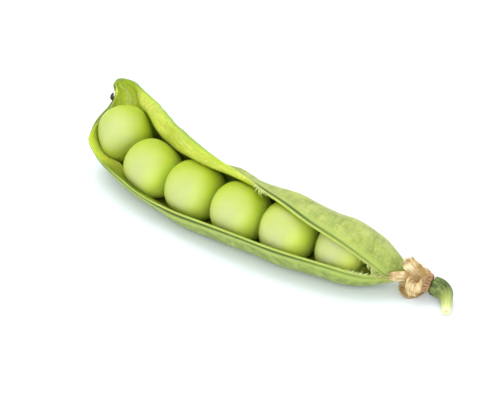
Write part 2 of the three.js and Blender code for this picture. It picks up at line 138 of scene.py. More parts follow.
def along(keys, station):
    """The smooth curve through given rows, each a station and then its value or its point."""
    places, *columns = np.array(keys, float).T
    values = np.squeeze(np.transpose(columns))
    s = min(max(station, places[0]), places[-1])
    last = len(keys) - 1
    i = min(int(np.searchsorted(places, s, "right")) - 1, last - 1)
    step = places[i + 1] - places[i]
    u = (s - places[i]) / step

    def slope(k):
        before, after = max(k - 1, 0), min(k + 1, last)
        return (values[after] - values[before]) / (places[after] - places[before])

    return (
        (2 * u**3 - 3 * u**2 + 1) * values[i]
        + (u**3 - 2 * u**2 + u) * step * slope(i)
        + (3 * u**2 - 2 * u**3) * values[i + 1]
        + (u**3 - u**2) * step * slope(i + 1)
    )


def unit(vectors):
    return vectors / np.linalg.norm(vectors, axis=-1, keepdims=True)


def smooth(value, low, high):
    """0 below low, 1 above high and a smooth step between."""
    x = np.clip((value - low) / (high - low), 0, 1)
    return x * x * (3 - 2 * x)


def hill(value, height, centre, width):
    """A rounded rise of the given height at its centre."""
    return height * np.exp(-(((value - centre) / width) ** 2))


def spaced(line, shares):
    """The points of a polyline at the given shares of its length."""
    length = np.concatenate([[0], np.cumsum(np.linalg.norm(np.diff(line, axis=0), axis=1))])
    return np.stack([np.interp(length[-1] * shares, length, column) for column in line.T], axis=-1)


def section_frame(station):
    """A section's centre and its directions to the tip, to the mouth and to the upper valve."""
    to_tip = unit(along(CENTRE_LINE, station + TURN_CHORD) - along(CENTRE_LINE, station - TURN_CHORD))
    mouth = along(MOUTH, station)
    to_mouth = unit(mouth - (mouth @ to_tip) * to_tip)
    beyond = min(0, station - CENTRE_LINE[0][0]) + max(0, station - POD_LENGTH)
    centre = along(CENTRE_LINE, station) + beyond * to_tip
    return centre, to_tip, to_mouth, np.cross(to_tip, to_mouth)


def beside_centre(station, up, out):
    centre, _, to_mouth, to_upper = section_frame(station)
    return centre + np.multiply.outer(up, to_upper) + np.multiply.outer(out, to_mouth)


def half_section(station, upper, count):
    """The middle of one valve's wall, up and out, from the back seam to its lip."""
    keys = (UPPER_FOLD, UPPER_LIP, UPPER_SWELL) if upper else (LOWER_FOLD, LOWER_LIP, LOWER_SWELL)
    fold, lip, swell = (along(key, station) for key in keys)
    fold = radians(fold)
    tangent = acos(min(1, 1 / along(BACK_RIDGE, station)))
    bulge = sum(hill(station, 1, pea, PEA_REACH) for pea, _, _ in PEAS)
    uneven = PEA_BULGE * (bulge - 0.5) * smooth(station, *BULGE_STARTS)
    sign = 1 if upper else -1

    def round_wall(angle):
        straight = np.maximum(0, tangent - np.sqrt(angle**2 + RIDGE_SOFTNESS))
        swollen = smooth(np.degrees(angle), SWELL_FROM, SWELL_FULL)
        if upper:
            swollen = swollen * (1 - smooth(np.degrees(angle), SWELL_FULL, SWELL_TO))
        distance = (along(RADIUS, station) + uneven * swollen) / np.cos(straight) + swell * swollen
        return np.stack([sign * distance * np.sin(angle), -distance * np.cos(angle)], axis=-1)

    if station < MOUTH_OPENS or station > MOUTH_CLOSES:
        lip = round_wall(np.array(pi))
    corner = round_wall(np.array(fold))
    reach = np.linalg.norm(lip - corner)
    turn = min(FOLD_BEND, reach * FOLD_BEND_SHARE)
    before = fold - turn / np.linalg.norm(corner)
    start = round_wall(np.array(before))
    after = corner + (lip - corner) * turn / max(reach, 1e-6)
    t = np.linspace(0, 1, BEND_POINTS)[1:, None]
    bend = (1 - t) ** 2 * start + 2 * t * (1 - t) * corner + t**2 * after
    line = np.concatenate([round_wall(np.linspace(0, before, ARC_POINTS)), bend, after + (lip - after) * t])
    return spaced(line, 1 - (1 - np.linspace(0, 1, count)) ** LIP_CROWDING)


def wall_middle(station, count):
    """The middle of the wall from the lower lip, over the back seam, to the upper lip."""
    lower = half_section(station, False, count)
    upper = half_section(station, True, count)
    up, out = np.concatenate([lower[:0:-1], upper]).T
    return beside_centre(station, up, out)


# The frame's origin is under the middle of the whole pod: its box of the fourth pea shows how far the
# pod's own curve is to be moved.
low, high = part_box("pea_4")
station, _, lift = PEAS[3]
SHIFT = 500 * (np.array(low) + np.array(high)) - beside_centre(station, lift, 0)


def show(name, data):
    """Puts a mesh, a lamp or a camera into the scene."""
    made = bpy.data.objects.new(name, data)
    bpy.context.scene.collection.objects.link(made)
    return made


def mark(mesh, **attributes):
    """Gives the points of a mesh values, each a number or a vector."""
    for key, values in attributes.items():
        kind, part = ("FLOAT_VECTOR", "vector") if np.ndim(values) > 1 else ("FLOAT", "value")
        layer = mesh.attributes.new(key, kind, "POINT")
        layer.data.foreach_set(part, np.ravel(values).astype(float))


def mesh_object(name, points, faces, material, **attributes):
    """A smooth-shaded object from points in millimetres."""
    mesh = bpy.data.meshes.new(name)
    mesh.from_pydata(((np.asarray(points) + SHIFT) / 1000).tolist(), [], faces)
    mark(mesh, **attributes)
    mesh.shade_smooth()
    mesh.materials.append(material)
    return show(name, mesh)


def linear(code):
    """An sRGB hex colour as linear RGBA."""
    parts = [int(code[i : i + 2], 16) / 255 for i in (1, 3, 5)]
    return [p / 12.92 if p <= 0.04045 else ((p + 0.055) / 1.055) ** 2.4 for p in parts] + [1]


def adder(tree):
    """The function that adds nodes to a tree."""

    def add(kind, *first, stops=(), **named):
        """Adds a node, such as "Bump" or "Math ADD", with its settings and links. Values feed the
        first inputs and capitalised names feed theirs: each is a value, a socket, or a node for its
        first output in use. A ramp's stop is place, colour and alpha."""
        kind, _, operation = kind.partition(" ")
        families = ("ShaderNode", "GeometryNode", "FunctionNode", "")
        made = tree.nodes.new(next(f for f in families if hasattr(bpy.types, f + kind)) + kind)
        if operation:
            made.operation = operation
        inputs = dict(enumerate(first))
        for name, value in named.items():
            if name[0].isupper():
                inputs[name.replace("_", " ")] = value
            else:
                setattr(made, name, value)
        for name, value in inputs.items():
            if isinstance(value, bpy.types.Node):
                value = next(output for output in value.outputs if output.enabled)
            if isinstance(value, bpy.types.NodeSocket):
                tree.links.new(value, made.inputs[name])
            else:
                made.inputs[name].default_value = value
        for i, (place, code, *alpha) in enumerate(stops):
            ramp = made.color_ramp.elements
            stop = ramp[i] if i < len(ramp) else ramp.new(place)
            stop.position = place
            stop.color = linear(code)[:3] + (alpha or [1])
        return made

    return add


def new_material(name):
    """A material, what adds nodes to its tree, and the object's point in millimetres."""
    made = bpy.data.materials.new(name)
    made.use_nodes = True
    made.node_tree.nodes.clear()
    add = adder(made.node_tree)
    return made, add, add("Mapping", add("TexCoord").outputs["Object"], Scale=(1000, 1000, 1000))


# Fresh legume pod wall: living plant tissue under a waxy cuticle. The wax scatters light into a
# soft satin, the wet tissue lets light through, and the lining is smoother and more yellow.
pod_skin, add, in_mm = new_material("fresh pod wall, waxed skin")
place = add("Attribute", attribute_name="place").outputs["Vector"]
lining = add("Attribute", attribute_name="lining").outputs["Fac"]
station, round_back, rim = add("SeparateXYZ", place).outputs
# veins some 0.6 mm wide run from the back seam to the lips, the lining's fibres some 0.8 mm wide run
# along the pod, and the other patterns are blotches of 2.4, 0.4 and 1.3 mm
crosswise = add("Mapping", place, Rotation=(0, 0, 0.9), Scale=(1, 0.16, 0))
lengthwise = add("Mapping", place, Scale=(0.12, 1, 0))
veins, streaks, mottle, speckle, cloudy = (
    add("TexNoise", vector, Scale=scale, Detail=detail)
    for vector, scale, detail in (
        (crosswise, 1.6, 3), (lengthwise, 1.2, 4), (in_mm, 0.42, 4), (in_mm, 2.6, 3), (in_mm, 0.75, 4),
    )
)
grain = add("Mix", Factor=0.45, A=streaks, B=speckle)
lip_place = add("Math DIVIDE", rim, 3)
# the skin's green, its specks and the deeper green of painted shade on the valve turned down; the
# lining; over 3 mm, the lips' pale edge, a dark line of painted shade in the lip's groove and a pale
# band; a dark green on the flared lip's crest, by how far its edge has turned inward; and the green
# band of 0.6 mm inside the flared rim
body_green, specks, painted_shade_green, lining_colour, lips, crest, band = (
    add("ValToRGB", value, stops=stops)
    for value, stops in (
        (mottle, [(0.34, "#82923A"), (0.5, "#95A146"), (0.66, "#ACB45A")]),
        (speckle, [
            (0.36, "#7F9138", 0.4), (0.47, "#96A548", 0), (0.58, "#B6BE70", 0), (0.68, "#C4CA88", 0.5),
        ]),
        (cloudy, [(0.36, "#6C7E2E"), (0.5, "#7E8E38"), (0.64, "#98A552")]),
        (grain, [(0.34, "#A2AC32"), (0.5, "#B3BC40"), (0.64, "#C6CC5C")]),
        # the lips' dark line, 0.27 to 0.5 mm from the rim, is painted shade in the lip's groove
        (lip_place, [
            (0, "#A2AE50", 0.9), (0.06, "#98A544", 0.9), (0.09, "#465815", 0.98), (0.17, "#4C6018", 0.98),
            (0.22, "#97A652", 0.85), (0.34, "#9BA852", 0.7), (0.55, "#94A448", 0),
        ]),
        (lining, [(0.1, "#5A7228", 0), (0.3, "#5A7228", 0.85), (0.5, "#5A7228", 0.85), (0.75, "#5A7228", 0)]),
        (lip_place, [(0, "#667F30", 0.8), (0.07, "#8AA040", 0.65), (0.22, "#A4B44A", 0)]),
    )
)
# how much of each colour there is: what it follows, from and to where, and its shares there
share = {"lining": lining}
for name, value, start, end, first, last in (
    ("vein", veins, 0.42, 0.62, 0, 0.35),
    # painted shade: the outside of the valve turned down, away from the lights, is darker
    ("turned down", round_back, -2, -6, 0, 0.85),
    # painted shade on the lining: below the seeds, deeper at that rim, and behind the seeds
    ("beneath", round_back, -1, -5, 0, 0.7),
    ("before tip", station, 57, 54.5, 0, 1),
    ("at rim", rim, 0.1, 2.4, 1.2, 0),
    ("behind", rim, 2.8, 4.6, 0, 0.8),
    ("before hood", station, 63, 59.5, 0, 1),
    # painted shade in the lips' groove, fading toward the neck
    ("strand", station, 4, 18, 0.3, 1),
    ("flared", station, 33, 40, 0, 1),
    ("at end", station, 50, 56, 0, 1),
    ("gloss", lining, 0, 1, 0.5, 0.36),
):
    share[name] = add("MapRange", value, From_Min=start, From_Max=end, To_Min=first, To_Max=last)
share["outside"] = add("Math SUBTRACT", 1, lining)
share["upper"] = add("Math GREATER_THAN", round_back, 0)
share["upper or end"] = add("Math MAXIMUM", share["upper"], share["at end"])
for name, layer in (("lips", lips), ("crest", crest), ("band", band)):
    share[name] = layer.outputs["Alpha"]
# some of them count only where others do
for name, others in (
    ("beneath", ["before tip"]),
    ("at rim", ["beneath"]),
    ("behind", ["upper", "before hood"]),
    ("lips", ["outside"]),
    ("crest", ["flared", "upper or end"]),
    ("band", ["flared", "upper", "lining"]),
):
    for other in others:
        share[name] = add("Math MULTIPLY", share[name], share[other])
# Colours laid one over another. Outside: specks, veins, and a deeper green of painted shade on the
# valve turned down. Lining: painted shade, olive below the seeds, deeper at that rim, and deep green
# in the gaps behind the seeds. The lips' painted groove shade fades toward the neck.
colour = {"outside": body_green, "lining": lining_colour, "lips": linear("#9FAE50")}
colour |= {"crest": crest, "band": band}
for name, factor, over in (
    ("outside", specks.outputs["Alpha"], specks),
    ("outside", share["vein"], linear("#B2BF72")),
    ("outside", share["turned down"], painted_shade_green),
    ("lining", share["beneath"], linear("#87942B")),
    ("lining", share["at rim"], linear("#5E6C1E")),
    ("lining", share["behind"], linear("#45561A")),
    ("lips", share["strand"], lips),
):
    colour[name] = add("Mix", Factor=factor, A=colour[name], B=over, data_type="RGBA")
skin_colour = colour["outside"]
for name in ("lining", "lips", "crest", "band"):
    skin_colour = add("Mix", Factor=share[name], A=skin_colour, B=colour[name], data_type="RGBA")
skin_relief = add("Math ADD", veins, speckle)
relief = add("Mix", Factor=lining, A=skin_relief, B=streaks)
surface = add(
    "BsdfPrincipled",
    Base_Color=skin_colour,
    Roughness=share["gloss"],
    Normal=add("Bump", Height=relief, Distance=0.00008, Strength=0.5),
    Subsurface_Weight=0.7,
    Subsurface_Radius=(1.6, 2.2, 0.5),
    Subsurface_Scale=0.001,
    IOR=1.42,
)
add("OutputMaterial", surface)

# rings of the mesh along the neck, the mouth and the tip, points on half a ring, steps over a lip
NECK_START = -4.9
TIP_END = 72.3
NECK_RINGS = 26
MOUTH_RINGS = 300
TIP_RINGS = 6
HALF_ROUND = 62
RIM_STEPS = 6
# the lips' band and groove and the back seam's ridge: height, distance, width; where they fade in
LIP_BAND = (0.1, 1.05, 0.5)
LIP_GROOVE = (-0.16, 0.42, 0.13)
BACK_SEAM = (0.12, 0, 0.35)
RELIEF_STARTS = (-1, 4)
# the lips thin toward their rim, each face by so much, and the beak's outer face comes in by half
LIP_THINS_OVER = 0.9
OUTER_THINS = 0.34
INNER_THINS = 0.16
LIP_ROUNDNESS = 0.55
MOUTH_WIDENS = (MOUTH_OPENS, MOUTH_OPENS + 2)
MOUTH_NARROWS = (-MOUTH_CLOSES, -71.4)
BEAK_STARTS = 70
BEAK_THINS = 0.5
# soft lining over the wall, thicker on the lower valve, and most between the last two peas and at
# the neck; it thins toward the rim and toward the back
FLESH = 0.2
FLESH_LOWER = 0.3
FLESH_LOWER_ENDS = (-66, -60)
FLESH_CUSHION = (1.3, 55.3, 2.4)
FLESH_AT_NECK = (1.9, 5.2, 1.9)
FLESH_FROM_RIM = (0.5, 2.6)
FLESH_TO_BACK = (-9, -5)
# depths of the hollow's rounded ends and of the poles that close the skin
NECK_HOLLOW = 1.6
TIP_HOLLOW = 0.4
HOLLOW_RINGS = 6
POLE = 0.15
FAR_FROM_RIM = 9


def pod_mesh():
    """Points and faces of both valves; for each point its station, way round from the back seam
    and distance to the rim, and whether it is lining."""
    stations = np.concatenate(
        [
            np.linspace(NECK_START, MOUTH_OPENS, NECK_RINGS),
            np.linspace(MOUTH_OPENS, MOUTH_CLOSES, MOUTH_RINGS)[1:],
            np.linspace(MOUTH_CLOSES, TIP_END, TIP_RINGS)[1:],
        ]
    )
    rows = np.arange(len(stations))
    opens = NECK_RINGS - 1
    closes = opens + MOUTH_RINGS - 1
    closed = (rows <= opens) | (rows >= closes)

    def join(block):
        """Makes both edges one where the pod is closed."""
        block[closed, 0] = block[closed, -1] = (block[closed, 0] + block[closed, -1]) / 2
        return block

    middle = join(np.array([wall_middle(s, HALF_ROUND + 1) for s in stations]))
    normal = unit(join(np.cross(np.gradient(middle, axis=0), np.gradient(middle, axis=1))))
    steps = np.linalg.norm(np.diff(middle, axis=1), axis=2)
    from_lower = np.concatenate([np.zeros((len(stations), 1)), np.cumsum(steps, axis=1)], axis=1)
    rim = np.minimum(from_lower, from_lower[:, -1:] - from_lower)
    round_back = from_lower - from_lower[:, HALF_ROUND : HALF_ROUND + 1]

    column = stations[:, None]
    open_here = smooth(column, *MOUTH_WIDENS) * smooth(-column, *MOUTH_NARROWS)
    strength = smooth(column, *RELIEF_STARTS)
    raised = hill(rim, *LIP_BAND) + hill(rim, *LIP_GROOVE) + hill(round_back, *BACK_SEAM)
    thin = smooth(-rim, -LIP_THINS_OVER, 0) * open_here
    beak = 1 - BEAK_THINS * smooth(column, BEAK_STARTS, MOUTH_CLOSES)
    outer_half = (WALL / 2 - OUTER_THINS * thin + raised * strength) * beak
    at_neck = hill(column, *FLESH_AT_NECK)
    lower = FLESH_LOWER * smooth(-column, *FLESH_LOWER_ENDS) + hill(column, *FLESH_CUSHION)
    flesh = FLESH + at_neck + np.where(round_back < 0, lower, 0)
    flesh = flesh * smooth(rim, *FLESH_FROM_RIM) * smooth(-rim, *FLESH_TO_BACK) * strength
    inner_half = WALL / 2 - INNER_THINS * thin + flesh
    outer = middle + normal * outer_half[:, :, None]
    inner = middle - normal * inner_half[:, :, None]
    outer[:, :, 2] = np.maximum(outer[:, :, 2], 0)
    coordinates = np.stack([np.broadcast_to(column, rim.shape), round_back, rim], axis=2)
    points, faces, place, lined = [], [], [], []

    def grid(block, where, inside, flip):
        """Adds rows of points with quads between them."""
        start = len(points)
        count = block.shape[1]
        points.extend(block.reshape(-1, 3))
        place.extend(where.reshape(-1, 3))
        lined.extend(np.tile(inside, block.size // 3 // np.size(inside)))
        for i in range(len(block) - 1):
            for j in range(count - 1):
                a = start + i * count + j
                quad = (a, a + count, a + count + 1, a + 1)
                faces.append(quad[::-1] if flip else quad)
        return start

    def close(start, row, depth, inside, flip):
        """Closes one ring of points with a fan to a pole so far toward the tip."""
        centre, to_tip, _, _ = section_frame(stations[row])
        points.append(centre + depth * to_tip)
        place.append((stations[row], 0, FAR_FROM_RIM))
        lined.append(inside)
        for j in range(start, start + outer.shape[1] - 1):
            triangle = (j, j + 1, len(points) - 1)
            faces.append(triangle[::-1] if flip else triangle)

    mouth = rows[opens : closes + 1]
    grid(outer, coordinates, 0, False)
    grid(inner[mouth], coordinates[mouth], 1, True)
    for edge, beside in ((0, 1), (-1, -2)):
        centre = (outer[mouth, edge] + inner[mouth, edge]) / 2
        reach = (outer[mouth, edge] - inner[mouth, edge]) / 2
        tangent = unit(middle[mouth, edge] - middle[mouth, beside])
        bulge = LIP_ROUNDNESS * np.linalg.norm(reach, axis=1)[:, None] * open_here[mouth]
        turn = np.linspace(0, pi, RIM_STEPS + 1)
        strip = np.stack([centre + reach * cos(t) + tangent * bulge * sin(t) for t in turn], axis=1)
        where = np.repeat(coordinates[mouth, edge][:, None], RIM_STEPS + 1, axis=1)
        grid(strip, where, np.linspace(0, 1, RIM_STEPS + 1), edge == 0)
    for row, depth in ((opens, -NECK_HOLLOW), (closes, TIP_HOLLOW)):
        centre, to_tip, _, _ = section_frame(stations[row])
        angles = np.linspace(0, pi / 2, HOLLOW_RINGS + 1)[:-1]
        ring = inner[row] - centre
        bowl = np.array([centre + ring * cos(a) + depth * sin(a) * to_tip for a in angles])
        start = grid(bowl, np.broadcast_to(coordinates[row], bowl.shape), 1, depth > 0)
        last = start + (HOLLOW_RINGS - 1) * bowl.shape[1]
        close(last, row, depth, 1, depth < 0)
    for row, depth in ((0, -POLE), (len(stations) - 1, POLE)):
        close(row * outer.shape[1], row, depth, 0, depth > 0)
    return points, faces, place, lined


def merge_doubles(target, distance):
    """Joins the points that lie on one another and turns the faces outward."""
    work = bmesh.new()
    work.from_mesh(target.data)
    bmesh.ops.remove_doubles(work, verts=work.verts, dist=distance)
    bmesh.ops.recalc_face_normals(work, faces=work.faces)
    work.to_mesh(target.data)
    work.free()


points, faces, place, lined = pod_mesh()
valves = mesh_object("valves", points, faces, pod_skin, place=place, lining=lined)
merge_doubles(valves, 2e-6)
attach(valves, "root")
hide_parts("pod_shell")

# ---- peas
# Six round fresh seeds, nearly touching, boxed a little by their neighbours; pale green seed coat.

# shares of the half width toward the neighbours and across, the power of the boxed outline, and how
# uneven the surface is
PEA_SIZES = {"Squash": 0.96, "Flatten": 0.99, "Squareness": 2.8, "Unevenness": 0.03}
# painted highlight and lit side: the way, in the scene, that the coat's palest side faces, toward the
# front light and camera; how far up it lies on each pea; and how pale the rest is
PAINTED_HIGHLIGHT_SIDE = (0.2, -0.92, 0.33)
PAINTED_HIGHLIGHT_LIFTS = (0, 0, 0, 0, 0.1, 0.4)
LEAST_PAINTED_HIGHLIGHT = (0.3, 0.25, 0.1, 0, 0.1, 0)
# painted bounce light: the way, in the scene, that the side painted a clearer green faces, toward
# the lining and the table, and how much on each pea
PAINTED_BOUNCE_SIDE = (0.86, -0.05, -0.5)
PAINTED_BOUNCE = (0.7, 0.85, 0.75, 0.6, 0.9, 0)

# Fresh pea seed coat: moist, smooth and slightly see-through, so light spreads several millimetres
# inside. Its paler side is a painted highlight and lit side, turned toward the front light.
seed_coat, add, in_mm = new_material("fresh pea seed coat")
cloud = add("TexNoise", in_mm, Scale=0.35, Detail=3)
# painted highlight: the pale value marks the coat's lit side, turned toward the front light
pale = add("Attribute", attribute_name="pale").outputs["Fac"]
clouded = add("Math MULTIPLY_ADD", cloud, 0.3, -0.15)
highlight_and_mottle = add("Math ADD", pale, clouded)
coat_stops = [(0, "#98AB22"), (0.3, "#A2B236"), (0.6, "#AAB654"), (1, "#B4BC7C")]
coat_colour = add("ValToRGB", highlight_and_mottle, stops=coat_stops)
# painted bounce light: the side turned to the pale lining and the table is painted a clearer green,
# as light thrown back from them would make it
painted_bounce = add("Attribute", attribute_name="painted_bounce").outputs["Fac"]
dimples = add("TexNoise", in_mm, Scale=1.4, Detail=2)
surface = add(
    "BsdfPrincipled",
    Base_Color=add("Mix", Factor=painted_bounce, A=coat_colour, B=linear("#C4D852"), data_type="RGBA"),
    Roughness=0.4,
    Normal=add("Bump", Height=dimples, Distance=0.0001, Strength=0.25),
    Subsurface_Weight=1,
    Subsurface_Radius=(6, 7.5, 1.6),
    Subsurface_Scale=0.001,
    IOR=1.45,
    Specular_IOR_Level=0.3,
)
add("OutputMaterial", surface)


def new_group(name, sockets):
    """A geometry tree with the named inputs and a geometry as its output; what adds nodes to it,
    its inputs, and what ends it with real instances and their material."""
    made = bpy.data.node_groups.new(name, "GeometryNodeTree")
    made.interface.new_socket("Geometry", in_out="OUTPUT", socket_type="NodeSocketGeometry")
    for kind, names in sockets.items():
        for given in names:
            made.interface.new_socket(given, in_out="INPUT", socket_type="NodeSocket" + kind)
    add = adder(made)

    def end(geometry, material):
        real = add("RealizeInstances", geometry)
        add("NodeGroupOutput", add("SetMaterial", real, Material=material))
        return made

    return add, add("NodeGroupInput").outputs, end


def pea_tree():
    """Geometry nodes: a sphere with a boxier outline and a slightly uneven surface."""
    numbers = ["Half width", *PEA_SIZES, "Seed", "Least painted highlight", "Painted bounce"]
    add, given, end = new_group("pea", {"Float": numbers, "Vector": ["Painted highlight side", "Painted bounce side"]})
    ball = add("MeshIcoSphere", Radius=1, Subdivisions=6)
    at = add("InputPosition")
    x, y, z = add("SeparateXYZ", at).outputs
    height = add("Math ABSOLUTE", y)
    girth = add("VectorMath LENGTH", add("CombineXYZ", X=x, Z=z))
    power = given["Squareness"]
    height, girth = (add("Math POWER", part, power) for part in (height, girth))
    size = add("Math ADD", height, girth)
    size = add("Math POWER", size, add("Math DIVIDE", -1, power))
    uneven = add("TexNoise", at, W=given["Seed"], Scale=1.3, noise_dimensions="4D")
    uneven = add("Math SUBTRACT", uneven, 0.5)
    swell = add("Math MULTIPLY_ADD", uneven, given["Unevenness"], 1)
    for factor in (given["Half width"], swell):
        size = add("Math MULTIPLY", size, factor)
    shape = add("CombineXYZ", X=given["Flatten"], Y=given["Squash"], Z=1)
    moved = add("VectorMath SCALE", at, Scale=size)
    moved = add("VectorMath MULTIPLY", moved, shape)
    seed = add("SetPosition", ball, Position=moved)
    aim = add("VectorMath NORMALIZE", at)
    # each attribute, the painted highlight and the painted bounce light, follows the angle to its side:
    # from and to which cosine, and its share there
    for name, side, low, high, share, kind in (
        ("pale", "Painted highlight side", 0.3, 1, {"To Min": given["Least painted highlight"]}, "LINEAR"),
        ("painted_bounce", "Painted bounce side", 0.08, 0.88, {"To Max": given["Painted bounce"]}, "SMOOTHSTEP"),
    ):
        facing = add("VectorMath DOT_PRODUCT", aim, given[side])
        value = add("MapRange", facing, From_Min=low, From_Max=high, interpolation_type=kind, **share)
        seed = add("StoreNamedAttribute", seed, Name=name, Value=value)
    return end(seed, seed_coat)


def grow(name, group, values, source, centre=np.zeros(3), turn=Matrix()):
    """Runs a geometry tree with the given inputs and puts its result into the scene as a plain
    mesh, turned and moved to a centre in millimetres."""
    holder = show(name + " holder", source)
    modifier = holder.modifiers.new(name, "NODES")
    modifier.node_group = group
    for item in group.interface.items_tree:
        if item.in_out == "INPUT" and item.name in values:
            modifier[item.identifier] = values[item.name]
    mesh = bpy.data.meshes.new_from_object(holder.evaluated_get(bpy.context.evaluated_depsgraph_get()))
    bpy.data.objects.remove(holder)
    mesh.name = name
    mesh.transform(Matrix.Translation(Vector((centre + SHIFT) / 1000)) @ turn @ Matrix.Scale(0.001, 4))
    mesh.shade_smooth()
    return show(name, mesh)


pea_group = pea_tree()
looks = zip(PEAS, PAINTED_HIGHLIGHT_LIFTS, LEAST_PAINTED_HIGHLIGHT, PAINTED_BOUNCE)
for number, ((station, half_width, lift), highlight_lift, least_highlight, painted_bounce) in enumerate(looks, 1):
    _, to_tip, to_mouth, to_upper = section_frame(station)
    axes = np.array([to_upper, to_tip, to_mouth])
    name = f"pea_{number}"
    seed = grow(
        name + "_seed",
        pea_group,
        PEA_SIZES
        | {
            "Half width": half_width,
            "Seed": float(number),
            "Least painted highlight": float(least_highlight),
            "Painted highlight side": unit(axes @ (np.array(PAINTED_HIGHLIGHT_SIDE) + (0, 0, highlight_lift))).tolist(),
            "Painted bounce": float(painted_bounce),
            "Painted bounce side": unit(axes @ np.array(PAINTED_BOUNCE_SIDE)).tolist(),
        },
        bpy.data.meshes.new("start"),
        beside_centre(station, lift, 0),
        Matrix(axes.T.tolist()).to_4x4(),
    )
    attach(seed, "root")
    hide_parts(name)

# ---- torn fibres
# The fibres that joined the valves along the mouth seam. When the pod was pulled open they stayed on
# its lips as a fine pale fringe, thickest near the neck.

# station, share of places with a fibre, and its length in mm
TORN_UPPER = [
    (2.8, 0.6, 0.8), (4.3, 0.9, 1.5), (6, 0.4, 0.7), (12, 0.2, 0.4), (20, 0.3, 0.5), (24, 0.4, 0.9),
    (25.6, 0.5, 2.2), (27.2, 0.5, 2), (28.5, 0.4, 1), (31, 0.3, 0.5), (60, 0.15, 0.3), (71, 0.5, 0.4),
]
TORN_LOWER = [
    (2.8, 1, 0.9), (5.5, 1, 1.3), (7.5, 1, 0.9), (9, 0.7, 0.6), (20, 0.25, 0.4), (71, 0.15, 0.3),
]
TORN_SIZES = {"Spacing": 0.09, "Thickness": 0.09, "Spread": 0.35}
# how far they stand off the lip, and how much they lean outward, to the mouth and across it
TORN_OFFSET = 0.12
TORN_LEAN = (0.5, 0.5, 0.8)
TORN_PLACES = 240

# Torn plant fibre: half dry, pale and matt, with light showing through it.
torn_fibre, add, in_mm = new_material("torn seam fibre")
dryness = add("TexNoise", in_mm, Scale=2, Detail=2)
torn_stops = [(0.35, "#A6B558"), (0.55, "#BCC875"), (0.7, "#CCCB8C")]
surface = add(
    "BsdfPrincipled",
    Base_Color=add("ValToRGB", dryness, stops=torn_stops),
    Roughness=0.7,
    Subsurface_Weight=0.4,
    Subsurface_Radius=(0.5, 0.6, 0.2),
    Subsurface_Scale=0.001,
)
add("OutputMaterial", surface)


def torn_tree():
    """Geometry nodes: thin bent fibres scattered along a line, leaning as the line says."""
    sockets = {"Geometry": ["Geometry"], "Float": TORN_SIZES, "Int": ["Seed"]}
    add, given, end = new_group("torn fibres", sockets)
    seed = given["Seed"]
    line = add("MeshToCurve", given["Geometry"])
    roots = add("ResampleCurve", line, Length=given["Spacing"], mode="LENGTH")
    lean, dense, length = (
        add("InputNamedAttribute", Name=name, data_type=kind)
        for name, kind in (("lean", "FLOAT_VECTOR"), ("dense", "FLOAT"), ("length", "FLOAT"))
    )
    chance = add("RandomValue", Seed=seed)
    kept = add("Compare LESS_THAN", chance, dense)
    part = add("RandomValue", Min=0.35, Max=1, Seed=seed)
    size = add("Math MULTIPLY", part, length)
    sides = {"Min": (-1, -1, -1), "Max": (1, 1, 1), "Seed": seed}
    stray = add("RandomValue", data_type="FLOAT_VECTOR", **sides)
    stray = add("VectorMath SCALE", stray, Scale=given["Spread"])
    toward = add("VectorMath ADD", lean, stray)
    turn = add("AlignRotationToVector", Vector=toward, axis="Z")
    arch = {"Start": (0, 0, 0), "Middle": (0.05, 0, 0.55), "End": (0.35, 0.05, 0.95)}
    bend = add("CurveQuadraticBezier", Resolution=5, **arch)
    taper = add("Math MULTIPLY_ADD", add("SplineParameter"), -0.75, 1)
    radius = add("Math MULTIPLY", taper, given["Thickness"])
    outline = add("CurvePrimitiveCircle", Resolution=5, Radius=1)
    tube = add("CurveToMesh", bend, outline, Scale=radius, Fill_Caps=True)
    return end(add("InstanceOnPoints", roots, kept, tube, Rotation=turn, Scale=size), torn_fibre)


torn_group = torn_tree()
for name, keys, edge, beside, side, seed in (
    ("torn_fibres_upper", TORN_UPPER, -1, -2, -1, 3),
    ("torn_fibres_lower", TORN_LOWER, 0, 1, 1, 5),
):
    stations = np.linspace(MOUTH_OPENS + 0.3, MOUTH_CLOSES - 1.5, TORN_PLACES)
    wall = np.array([wall_middle(s, HALF_ROUND + 1) for s in stations])
    outward = unit(wall[:, edge] - wall[:, beside])
    mouthward, across = np.array([section_frame(s)[2:] for s in stations]).transpose(1, 0, 2)
    lean = TORN_LEAN[0] * outward + TORN_LEAN[1] * mouthward + TORN_LEAN[2] * side * across
    dense, length = np.array([along(keys, s) for s in stations]).T
    line = bpy.data.meshes.new(name)
    route = wall[:, edge] + outward * TORN_OFFSET
    line.from_pydata(route.tolist(), [(i, i + 1) for i in range(TORN_PLACES - 1)], [])
    mark(line, lean=lean, dense=dense, length=length)
    fringe = grow(name, torn_group, TORN_SIZES | {"Seed": seed}, line)
    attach(fringe, "root")

# ---- style
# The flower's withered style, a short dark dry thread that clings under the beaked tip.

# its place: the station, and the share of the way from the back seam to the lower lip
STYLE_STATION = 68.2
STYLE_SIDE = 0.85
STYLE_RADIUS = 0.36
# its route, in millimetres outward and toward the tip, and its radius along it
STYLE_ROUTE = [(0.1, -0.1), (0.45, 0.2), (0.4, 0.75), (0.15, 1.3)]
STYLE_TAPER = [(0, 0.8), (0.3, 1), (0.6, 0.9), (1, 0.35)]
STYLE_RINGS = 26
STYLE_AROUND = 14
STYLE_WRINKLE = 0.18

# Dead plant fibre: dry, almost black and matt.
dead_fibre, add, in_mm = new_material("withered style, dry fibre")
rough_patch = add("TexNoise", in_mm, Scale=3, Detail=4)
fibre_stops = [(0.35, "#241C10"), (0.55, "#3E3420"), (0.75, "#6B6238")]
surface = add(
    "BsdfPrincipled",
    Base_Color=add("ValToRGB", rough_patch, stops=fibre_stops),
    Roughness=0.85,
    Normal=add("Bump", Height=rough_patch, Distance=0.0001, Strength=0.8),
)
add("OutputMaterial", surface)


